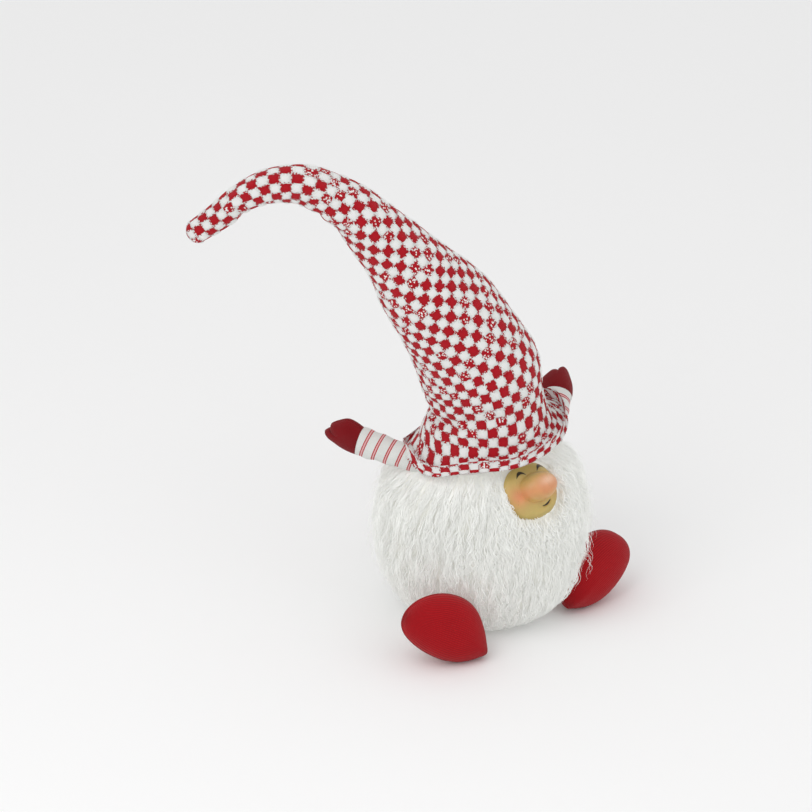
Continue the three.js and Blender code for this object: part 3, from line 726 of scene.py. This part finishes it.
def ribKnit(name, colour):
    # ribs run where v is constant: each is a rounded ridge, with short yarn marks along it
    material, graph, surface = newMaterial(name, **softYarn)
    u, v = graph.uv()
    ridge = graph.math("ABSOLUTE", graph.math("SINE", graph.math("MULTIPLY", v, math.pi / 2.0)))
    bowed = graph.math("ADD", u, graph.math("MULTIPLY", ridge, 0.7))
    mark = graph.math("SINE", graph.math("MULTIPLY", bowed, 5.2))
    fuzz = graph.group("fibreFuzz", Place=objectPlace(graph), Scale=1500.0)["Value"]
    # painted shade: each rib is darker in the groove beside it and lighter on its crest
    shade = shaded(graph, colour, ridge, 0.68, 1.08)
    graph.feed(surface.inputs["Base Color"], shaded(graph, shade, fuzz, 0.78, 1.2))
    height = graph.math("ADD", ridge, graph.math("MULTIPLY", mark, 0.14))
    bumped(graph, surface, graph.math("ADD", height, graph.math("MULTIPLY", fuzz, 0.5)), 0.45, 0.8)
    return material


sleeveFinish = stripedKnit()
mittenFinish = plainKnit("mittenKnit", limbs["mitten"], limbs["knit"], 1.25, 0.35)
bootFinish = ribKnit("bootRib", limbs["boot"])


def tubePiece(name, root, basis, length, radiusAt, start):
    # a sleeve: x along it from start, with a radius of radiusAt(x) times 1 + small lumps
    rows, columns = int(length / 0.9), 110
    x = np.linspace(start, length, rows)[:, None]
    angle = np.linspace(0, 2 * math.pi, columns + 1)[None, :]
    radius = radiusAt(x) * (1 + 0.018 * swayed(x * 1.0 + angle * 9, 2.2, 6))
    radius = radius + 0.5 * np.sin(x / 3.4 + 2 * np.sin(angle)) * smoothstep(0, 20, x)
    local = np.stack(
        [np.broadcast_to(x, radius.shape), radius * np.cos(angle), radius * np.sin(angle)], axis=-1
    )
    points = np.asarray(root, float) + local[:, :-1] @ basis.T
    # rings bow towards the hand on top
    v = x + 2.2 * np.sin(angle)
    u = np.broadcast_to(angle * radiusAt(length / 2), v.shape)
    first, final = (np.asarray(root, float) + basis @ np.array([at, 0, 0]) for at in (start, length))
    uv = np.stack([u, v], axis=-1)
    return skinPiece(name, points, uv, startCap=(first, start), endCap=(final, length))


def dress(piece, finish, body, slot, *nodes):
    piece.data.materials.append(finish)
    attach(piece, body)
    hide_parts(*nodes)


def buildArm(arm):
    side, root = arm["side"], np.array(arm["shoulder"], float)
    basis = aimed(arm["direction"])
    body = f"arm_{side}"
    # the sleeve narrows as it goes down into the fur, deep enough to stay rooted as the arm drops
    radiusAt = lambda x: 12.4 + 3 * np.clip(x / sleeveLength, 0, 1) - 0.28 * np.clip(-x, 0, None)
    sleeve = tubePiece(f"sleeve_{side}", root, basis, sleeveLength, radiusAt, limbs["armRoot"])
    dress(sleeve, sleeveFinish, body, "striped_knit", f"arm_sleeve_{side}")

    local = pillow(mittenOutline, mittenMiddle, 25.8, rows=51, columns=200, ridge=0.55)
    inArm = local @ turnX(-90 + arm["mirror"] * arm["roll"]).T + [sleeveLength + 0.35, 0, 0]
    points = root + inArm @ basis.T
    flat = np.concatenate([local, local[:, :1]], axis=1)
    uv = np.stack([flat[..., 1], flat[..., 0] + 60 * (flat[..., 2] > 0)], axis=-1)
    ends = []
    for sign in (1, -1):
        end = np.array([*mittenMiddle, sign * 12.9]) @ turnX(-90 + arm["mirror"] * arm["roll"]).T
        ends.append((root + basis @ (end + [sleeveLength + 0.35, 0, 0]), mittenMiddle[0]))
    mitten = skinPiece(f"mitten_knit_{side}", points, uv, startCap=ends[0], endCap=ends[1])
    dress(mitten, mittenFinish, body, "mitten_knit", f"mitten_{side}")


for arm in arms:
    buildArm(arm)
print("arms done")


legs = [
    {"side": "right", "mirror": 1, "hip": (-52, -42, 26), "heel": (-79.4, -93.4), "toe": (-0.8, 0.4, 0.45)},
    {"side": "left", "mirror": -1, "hip": (52, -42, 26), "heel": (44, -82), "toe": (0.95, 0.12, 0.29)},
]
bootRoll = 20
bootThickness = 46
legRadius = 12


def bootPlace(leg):  # where a boot's frame is, with its lowest point on the floor
    basis = aimed(leg["toe"], leg["mirror"] * bootRoll) @ turnX(90)
    shape = pillow(bootOutline, bootMiddle, bootThickness, 31, 60, 0) @ basis.T
    return np.array([*leg["heel"], -shape[..., 2].min() + 0.1]), basis


def buildLeg(leg):
    side = leg["side"]
    place, basis = bootPlace(leg)
    local = pillow(bootOutline, bootMiddle, bootThickness + 0.6, rows=81, columns=300)
    points = place + local @ basis.T
    points[..., 2] = np.maximum(points[..., 2], 0.2)
    # ribs keep to the same share of the way from the sole to the top, so they meet at the heel
    outline = through(bootOutline, np.arange(400) * len(bootOutline) / 400, closed=True)
    sole, top = outline[outline[:, 1] < 5], outline[outline[:, 1] >= 5]
    sole, top = (half[np.argsort(half[:, 0])] for half in (sole, top))
    flat = np.concatenate([local, local[:, :1]], axis=1)
    x = flat[..., 0]
    low, high = (np.interp(x, half[:, 0], half[:, 1]) for half in (sole, top))
    share = np.clip((flat[..., 1] - low) / np.maximum(high - low, 4), 0, 1)
    uv = np.stack([x, share * 62], axis=-1)
    ends = []
    for sign in (1, -1):
        ends.append((place + basis @ np.array([*bootMiddle, sign * (bootThickness / 2 + 0.3)]), 31))
    boot = skinPiece(f"boot_knit_{side}", points, uv, startCap=ends[0], endCap=ends[1])
    nodes = (f"boot_outer_panel_{side}", f"boot_inner_panel_{side}")
    dress(boot, bootFinish, f"leg_{side}", "boot_rib_knit", *nodes)

    hip = np.array(leg["hip"], float)
    ankle = place + basis @ np.array([42, 20, 0.0])
    length = float(np.linalg.norm(ankle - hip))
    radiusAt = lambda x: legRadius + 0.4 + 0 * x
    sleeve = tubePiece(f"leg_knit_{side}", hip, aimed(ankle - hip), length - 6, radiusAt, limbs["legRoot"])
    dress(sleeve, sleeveFinish, f"leg_{side}", "striped_knit", f"leg_sleeve_{side}")


for leg in legs:
    buildLeg(leg)
print("legs done")


fur = {
    "white": tone(250, 251, 248),
    # painted shade: a slightly darker, warmer tone for the strands' roots and the backing
    "deep": tone(246, 245, 238),
    "clumps": 2700,
    "perClump": 6,
    "length": (30, 62),
    "pile": 19.0,  # loose fur outside the core
    "width": 1.35,
    "wave": 3.0,
    "segments": 12,
    "zones": 9,
    "rimStrands": 2600,
    "strays": 900,
    "backing": 0.38,  # layer of the skin under the strands
    "brim": (187, 15.6),  # height of the brim's edge at its middle, and how far it dips as the hat leans
    "brimRoom": 34,  # the pile is pressed flat under the brim and free this far below it
}
coreRadius, coreMiddle, crownHeight, baseRadius, squareness = 94.0, 96.0, 196.0, 54.0, 2.5
coreDepth = coreMiddle / (1 - (baseRadius / coreRadius) ** squareness) ** (1 / squareness)
rng = np.random.default_rng(7)


def ballAt(angle, azimuth, layer):
    # a squarish ball: radius cos^0.8, height sin^0.8, from the core at layer 0 to the fur's outside at 1
    power = 2 / squareness
    out = np.clip(np.cos(angle), 0, None) ** power * (coreRadius + fur["pile"] * layer)
    half = np.where(angle > 0, crownHeight - coreMiddle + 9 * layer, coreDepth + 2 * layer)
    height = coreMiddle + np.sign(np.sin(angle)) * np.abs(np.sin(angle)) ** power * half
    return np.stack([out * np.cos(azimuth), out * np.sin(azimuth), height], axis=-1)


slopeAngles = np.linspace(1.45, -1.5, 600)
slopeLine = ballAt(slopeAngles, np.zeros(600), np.full(600, 0.5))
slopeLengths = np.concatenate([[0], np.cumsum(np.linalg.norm(np.diff(slopeLine, axis=0), axis=1))])
floorLength = np.interp(-4, -slopeLine[:, 2], slopeLengths)


def brimEdgeHeight(azimuth):
    return fur["brim"][0] - fur["brim"][1] * np.cos(azimuth - leanAngle)


def strandPaths(root, length, layer, azimuth, phase, spread, segments):
    # a strand slides down the ball from its root, rises through the pile as 1 - (1 - early) exp(-5t) and
    # sways; strands of a clump close up towards its tip. The columns of phase: start, beat, sway, early
    t = np.linspace(0, 1, segments + 1)[None, :]
    downLength = np.clip(root[:, None] + length[:, None] * t, 0, slopeLengths[-1])
    angle = np.interp(downLength, slopeLengths, slopeAngles)
    closing = 1 - 0.75 * t
    sway = np.sin(2 * math.pi * (t * phase[:, 1:2] + phase[:, :1])) * phase[:, 2:3] * t**0.6
    out = np.maximum(np.cos(angle) ** 0.8 * coreRadius, 30)
    turn = azimuth[:, None] + (spread[:, None] * closing + sway) / out
    lifted = layer[:, None] * (1 - (1 - phase[:, 3:4]) * np.exp(-5 * t))
    lifted = lifted + 0.06 * np.sin(2 * math.pi * (t * 2.1 + phase[:, :1]))
    height = ballAt(angle, turn, lifted)[..., 2]
    held = np.clip((brimEdgeHeight(turn) - height + 2) / fur["brimRoom"], 0.12, 1)
    points = ballAt(angle, turn, lifted * held)
    points[..., 2] = np.maximum(points[..., 2], 1.5 + 0.8 * phase[:, :1])
    return points


def blocked(points, boots):
    # true where a strand meets the face, a sleeve, a leg or a boot
    local = (points - face["centre"]) @ turnX(90 - face["tilt"])
    share = (np.abs(local[..., 0]) / 31) ** 2.3 + (np.abs(local[..., 1]) / 27) ** 2.3
    hit = ((share < 1.04) & (local[..., 2] > -16)).any(axis=1)
    for arm in arms:
        way = np.array(arm["direction"])
        hit |= nearLine(points, np.array(arm["shoulder"]) + 20 * way, way * 70, 14).any(axis=1)
    for leg, (place, basis) in zip(legs, boots):
        inBoot = (points - place) @ basis
        flat = inBoot[..., :2] - bootMiddle
        outline = through(bootOutline, np.arange(400) * len(bootOutline) / 400, closed=True) - bootMiddle
        bearing = np.arctan2(outline[:, 1], outline[:, 0])
        order = np.argsort(bearing)
        reach = np.interp(
            np.arctan2(flat[..., 1], flat[..., 0]),
            bearing[order],
            np.linalg.norm(outline, axis=1)[order],
            period=2 * math.pi,
        )
        depth = np.clip(1 - (inBoot[..., 2] / (bootThickness / 2 + 1)) ** 2, 0, 1)
        inReach = (np.linalg.norm(flat, axis=-1) < reach * depth**0.4 + 0.5).any(axis=1)
        hit |= inReach & (depth > 0).any(axis=1)
        ankle = place + basis @ np.array([42, 20, 0.0])
        hit |= nearLine(points, leg["hip"], ankle - np.array(leg["hip"]), legRadius + 1).any(axis=1)
    return hit


def nearLine(points, start, along, radius):
    start, along = np.asarray(start, float), np.asarray(along, float)
    share = np.clip((points - start) @ along / (along @ along), 0, 1)
    return np.linalg.norm(points - start - share[..., None] * along, axis=-1) < radius


def strandMesh(name, points, width, shade):
    # each strand is a flattened three-sided tube that narrows as 1 - t^2.2 to a point
    strands, count = points.shape[:2]
    t = np.linspace(0, 1, count)[None, :]
    forward = unit(np.gradient(points, axis=1))
    away = points - np.array([0, 0, coreMiddle])
    side = unit(np.cross(forward, away))
    out = np.cross(side, forward)
    size = width[:, None] / 2 * (1 - t**2.2) * np.minimum(0.5 + 4 * t, 1)
    rings = []
    for degrees, flat in ((90, 0.8), (210, 1.0), (330, 1.0)):
        c, s = math.cos(math.radians(degrees)), math.sin(math.radians(degrees))
        rings.append(points + size[..., None] * (c * flat * side + s * 0.7 * out))
    rings = np.stack(rings, axis=2)[:, :-1]
    vertices = np.concatenate([rings.reshape(strands, -1, 3), points[:, -1:]], axis=1)
    perStrand = (count - 1) * 3 + 1
    ring = np.arange(count - 2)[:, None] * 3
    sideIndex = np.arange(3)[None, :]
    following = (sideIndex + 1) % 3
    quads = np.stack(
        [ring + sideIndex, ring + following, ring + following + 3, ring + sideIndex + 3], axis=-1
    )
    last = (count - 2) * 3
    point = perStrand - 1
    tip = np.array([[last, last + 1, point], [last + 1, last + 2, point], [last + 2, last, point]])
    one = np.concatenate([quads.ravel(), tip.ravel(), [2, 1, 0]])
    totals = np.concatenate([np.full((count - 2) * 3, 4), np.full(4, 3)])
    offset = np.arange(strands)[:, None] * perStrand
    depth = np.append(np.repeat(t[0, :-1], 3), 1.0)
    extras = {"Depth": np.tile(depth, strands), "Shade": np.repeat(shade, perStrand)}
    corners = (offset + one[None]).ravel()
    return meshFrom(name, vertices.reshape(-1, 3), corners, np.tile(totals, strands), None, extras)


def furMaterial():
    # the weak emission stands for light scattered inside the pile
    material, graph, surface = newMaterial(
        "whiteFur",
        Roughness=0.85,
        Sheen_Weight=0.2,
        Specular_IOR_Level=0.2,
        Emission_Color=(1.0, 1.0, 0.97, 1.0),
        Emission_Strength=0.12,
    )
    depth = graph.add("ShaderNodeAttribute", {"attribute_name": "Depth"}).outputs["Fac"]
    shade = graph.add("ShaderNodeAttribute", {"attribute_name": "Shade"}).outputs["Fac"]
    # painted shade: each strand is the darker deep tone at its root and turns white a third of the way out;
    # the backing sits part way between
    out = graph.add("ShaderNodeMapRange", Value=depth, From_Max=0.35)
    colour = graph.mix(out.outputs[0], fur["deep"], fur["white"])
    colour = shaded(graph, colour, shade, 0.9, 1.02)
    fuzz = graph.group("fibreFuzz", Place=objectPlace(graph), Scale=1200.0)["Value"]
    graph.feed(surface.inputs["Base Color"], shaded(graph, colour, fuzz, 0.95, 1.03))
    return material


def buildFur():
    boots = [bootPlace(leg) for leg in legs]
    clumps, perClump = fur["clumps"], fur["perClump"]
    # roots are spread evenly over the ball, from under the brim to the base
    table = np.cos(slopeAngles) ** 0.8
    usable = (slopeLine[:, 2] > 6) & (slopeLine[:, 2] < 194)
    chance = np.cumsum(np.where(usable, table * np.gradient(slopeLengths), 0))
    root = np.interp(rng.random(clumps) * chance[-1], chance, slopeLengths)
    azimuth = rng.random(clumps) * 2 * math.pi
    length = rng.uniform(*fur["length"], clumps)
    layer = rng.uniform(0.5, 1.0, clumps)
    wave = rng.uniform(0.4, 1.0, clumps) * fur["wave"]
    beat = rng.uniform(1.2, 3.2, clumps)
    start = rng.random(clumps)
    strand = lambda values: np.repeat(values, perClump)
    total = clumps * perClump
    begin = strand(start) + rng.normal(0, 0.05, total)
    phase = np.stack([begin, strand(beat), strand(wave), np.zeros(total)], axis=1)
    root = strand(root) + rng.normal(0, 2.6, total)
    spread = rng.normal(0, 2.6, total)
    length = strand(length) * rng.uniform(0.8, 1.1, total)
    layer = np.clip(strand(layer) + rng.normal(0, 0.05, total), 0.15, 1.05)
    azimuth = strand(azimuth)
    # short strands stand close round the face, and fine stray hairs loosen the outline
    rim, stray = fur["rimStrands"], fur["strays"]
    more = rim + stray
    faceAzimuth = math.atan2(face["centre"][1], face["centre"][0])
    rimRoot = rng.uniform(*np.interp([-178, -108], -slopeLine[:, 2], slopeLengths), rim)
    root = np.concatenate([root, rimRoot, rng.uniform(floorLength * 0.12, floorLength * 0.75, stray)])
    rimAzimuth = faceAzimuth + rng.uniform(-0.55, 0.55, rim)
    azimuth = np.concatenate([azimuth, rimAzimuth, rng.random(stray) * 2 * math.pi])
    length = np.concatenate([length, rng.uniform(16, 30, rim), rng.uniform(22, 46, stray)])
    layer = np.concatenate([layer, rng.uniform(0.35, 0.95, rim), rng.uniform(1.0, 1.5, stray)])
    spread = np.concatenate([spread, rng.normal(0, 1.5, more)])
    early = np.where(np.arange(more) < rim, 0.75, 0.0)
    loose = [rng.random(more), rng.uniform(1.0, 2.6, more), rng.uniform(1.5, 3.5, more), early]
    phase = np.concatenate([phase, np.stack(loose, axis=1)])
    points = strandPaths(root, length, layer, azimuth, phase, spread, fur["segments"])
    hit = blocked(points, boots)
    close = strandPaths(root, length, layer * 0.2, azimuth, phase, spread, fur["segments"])
    closeHit = blocked(close, boots)
    points = np.where(hit[:, None, None], close, points)
    keep = ~(hit & closeHit)
    width = np.concatenate([rng.uniform(0.7, 1.25, total + rim), rng.uniform(0.3, 0.5, stray)])
    width = width * fur["width"]
    shade = strand(rng.random(clumps)) * 0.6 + rng.random(total) * 0.4
    shade = np.concatenate([shade, rng.random(more)])
    material = furMaterial()
    zone = np.floor((azimuth % (2 * math.pi)) / (2 * math.pi) * fur["zones"]).astype(int)
    for number in range(fur["zones"]):
        chosen = keep & (zone == number)
        piece = strandMesh(f"fur_locks_{number + 1}", points[chosen], width[chosen], shade[chosen])
        piece.data.materials.append(material)
        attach(piece, "body")
    print("strands", int(keep.sum()))

    rows, columns = 120, 260
    angle, around = np.meshgrid(
        np.linspace(1.5, -1.2, rows), np.linspace(0, 2 * math.pi, columns + 1), indexing="ij"
    )
    layers = fur["backing"] + 0.05 * swayed(around * 40 + angle * 25, 0.7, 1.3)
    room = (brimEdgeHeight(around) - ballAt(angle, around, layers)[..., 2] + 2) / fur["brimRoom"]
    points = ballAt(angle, around, layers * np.clip(room, 0.05, 1))
    points[..., 2] = np.maximum(points[..., 2], 0.3)
    uv = np.stack([around * 94, angle * 100], axis=-1)
    top = (np.array([0, 0, crownHeight + 0.5]), 150)
    bottom = (np.array([0, 0, 0.3]), -150)
    extras = {"Depth": np.full(rows * columns, 0.15), "Shade": np.full(rows * columns, 0.5)}
    skin = skinPiece("fur_backing", points[:, :-1], uv, startCap=top, endCap=bottom, extras=extras)
    skin.data.materials.append(material)
    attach(skin, "body")
    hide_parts("fur_cover")


buildFur()
print("fur done")


def innerFinish(name, colour, roughness, scale, depth, metal=0.0):
    material, graph, surface = newMaterial(name, Metallic=metal, Roughness=roughness)
    noise = graph.add("ShaderNodeTexNoise", Vector=objectPlace(graph), Scale=scale, Detail=4.0).outputs[0]
    graph.feed(surface.inputs["Base Color"], shaded(graph, colour, noise, 0.8, 1.15))
    bumped(graph, surface, noise, depth, 0.6)
    return material


innerFinishes = {
    "felt": innerFinish("whiteFelt", tone(226, 224, 216), 0.95, 900.0, 0.4),
    "card": innerFinish("greyCard", tone(170, 152, 122), 0.9, 500.0, 0.1),
    "stuffing": innerFinish("fibreFilling", tone(240, 240, 236), 1.0, 500.0, 1.0),
    "pouch": innerFinish("pouchCloth", tone(200, 191, 174), 0.95, 1200.0, 0.3),
    "fill": innerFinish("sandBallast", tone(157, 148, 132), 0.9, 1500.0, 0.4),
    "wire": innerFinish("steelWire", tone(170, 172, 175), 0.4, 800.0, 0.05, 1.0),
}
for nodeName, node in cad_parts.items():
    if node.hide_render:
        continue
    words = nodeName.split("_")
    kind = next((key for key in innerFinishes if key in words), "felt")
    node.data.materials.clear()
    node.data.materials.append(innerFinishes[kind])
print("inner pieces done")


stage = {
    "floor": tone(250, 250, 250),
    "key": 11.0,
    "fill": 3.0,
    "world": 0.8,
    "view": np.array([-0.591, -0.656, 0.469]),  # from the doll to the camera
    "right": np.array([0.743, -0.669, 0.0]),
    "target": np.array([0.0047, 0.1231, 0.1782]),
    "distance": 18.77,  # a long lens far away keeps the hat from looming
    "lens": 800,
    "floorSide": 3000,
}


def buildStage():
    bpy.context.scene.view_settings.view_transform = "Standard"
    side = stage["floorSide"]
    floorPoints = np.array([[-side, -side, 0], [side, -side, 0], [side, side, 0], [-side, side, 0]], float)
    floor = meshFrom("floor", floorPoints, np.arange(4), np.array([4]), np.zeros((4, 2)))
    material, graph, surface = newMaterial("paleFloor", Roughness=0.9)
    noise = graph.add("ShaderNodeTexNoise", Vector=objectPlace(graph), Scale=3.0).outputs[0]
    graph.feed(surface.inputs["Base Color"], shaded(graph, stage["floor"], noise, 0.99, 1.0))
    floor.data.materials.append(material)

    world = bpy.data.worlds.new("studio")
    bpy.context.scene.world = world
    world.use_nodes = True
    backdrop = world.node_tree.nodes["Background"]
    backdrop.inputs["Color"].default_value = (1, 1, 1, 1)
    backdrop.inputs["Strength"].default_value = stage["world"]

    view, right = unit(stage["view"]), stage["right"]
    lamps = [
        ("key", view * 1.3 - right * 0.9 + up * 1.3, 1.4, stage["key"]),
        ("fill", view * 1.5 + right * 1.3 + up * 0.4, 1.6, stage["fill"]),
    ]
    for name, place, size, power in lamps:
        light = bpy.data.lights.new(name, "AREA")
        light.size = size
        light.energy = power
        lamp = bpy.data.objects.new(name, light)
        lamp.location = Vector(place.tolist())
        aim = Vector((-place + [0, 0, 0.2]).tolist())
        lamp.rotation_euler = aim.to_track_quat("-Z", "Y").to_euler()
        bpy.context.scene.collection.objects.link(lamp)

    camera = bpy.data.cameras.new("camera")
    camera.lens = stage["lens"]
    camera.sensor_width = 36
    eye = bpy.data.objects.new("camera", camera)
    eye.location = Vector((stage["target"] + view * stage["distance"]).tolist())
    eye.rotation_euler = Vector((-view).tolist()).to_track_quat("-Z", "Y").to_euler()
    bpy.context.scene.collection.objects.link(eye)
    bpy.context.scene.camera = eye


buildStage()
print("scene done")
